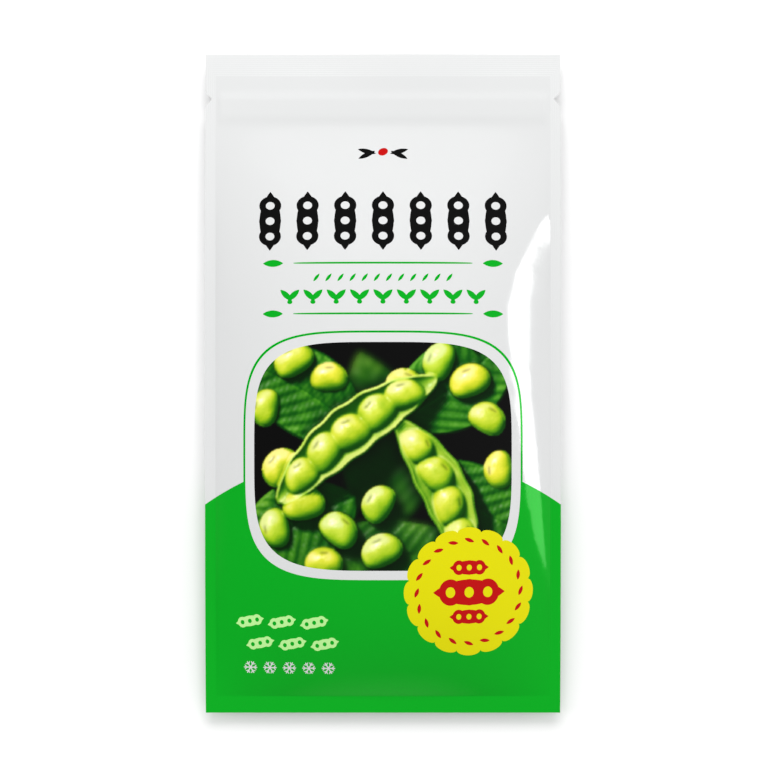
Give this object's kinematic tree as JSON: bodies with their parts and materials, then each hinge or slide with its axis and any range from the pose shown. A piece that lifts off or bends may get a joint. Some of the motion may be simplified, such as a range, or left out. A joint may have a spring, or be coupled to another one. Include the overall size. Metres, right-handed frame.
{
  "type": "sealed retail pouch of frozen edamame pods",
  "caption": "Flat heat-sealed film pouch, filled with frozen whole pods and lying on its back, with tear notches and a press-to-close strip below the top seal.",
  "frame": {"origin": "middle of the outline, on the surface that the back film rests on", "axes": "+X towards the pouch's right edge as its front is read, +Y towards its top seal, +Z out of its printed front"},
  "size_m": [0.21, 0.39, 0.0468],
  "materials": {
    "front_film": "satin",
    "back_film": "satin",
    "zip_strip": "satin",
    "pod_skin": "matte"
  },
  "bodies": {
    "root": {"front_film": "front_film", "back_film": "back_film", "zip_groove": "zip_strip", "zip_rib": "zip_strip", "pod_01": "pod_skin", "pod_02": "pod_skin", "pod_03": "pod_skin", "pod_04": "pod_skin", "pod_05": "pod_skin", "pod_06": "pod_skin", "pod_07": "pod_skin", "pod_08": "pod_skin", "pod_09": "pod_skin", "pod_10": "pod_skin", "pod_11": "pod_skin", "pod_12": "pod_skin", "pod_13": "pod_skin", "pod_14": "pod_skin", "pod_15": "pod_skin", "pod_16": "pod_skin", "pod_17": "pod_skin", "pod_18": "pod_skin", "pod_19": "pod_skin", "pod_20": "pod_skin", "pod_21": "pod_skin", "pod_22": "pod_skin", "pod_23": "pod_skin", "pod_24": "pod_skin", "pod_25": "pod_skin", "pod_26": "pod_skin", "pod_27": "pod_skin", "pod_28": "pod_skin", "pod_29": "pod_skin", "pod_30": "pod_skin", "pod_31": "pod_skin", "pod_32": "pod_skin", "pod_33": "pod_skin", "pod_34": "pod_skin", "pod_35": "pod_skin", "pod_36": "pod_skin", "pod_37": "pod_skin", "pod_38": "pod_skin", "pod_39": "pod_skin", "pod_40": "pod_skin", "pod_41": "pod_skin", "pod_42": "pod_skin", "pod_43": "pod_skin", "pod_44": "pod_skin", "pod_45": "pod_skin", "pod_46": "pod_skin", "pod_47": "pod_skin", "pod_48": "pod_skin", "pod_49": "pod_skin", "pod_50": "pod_skin", "pod_51": "pod_skin", "pod_52": "pod_skin", "pod_53": "pod_skin", "pod_54": "pod_skin", "pod_55": "pod_skin", "pod_56": "pod_skin"}
  },
  "joints": []
}
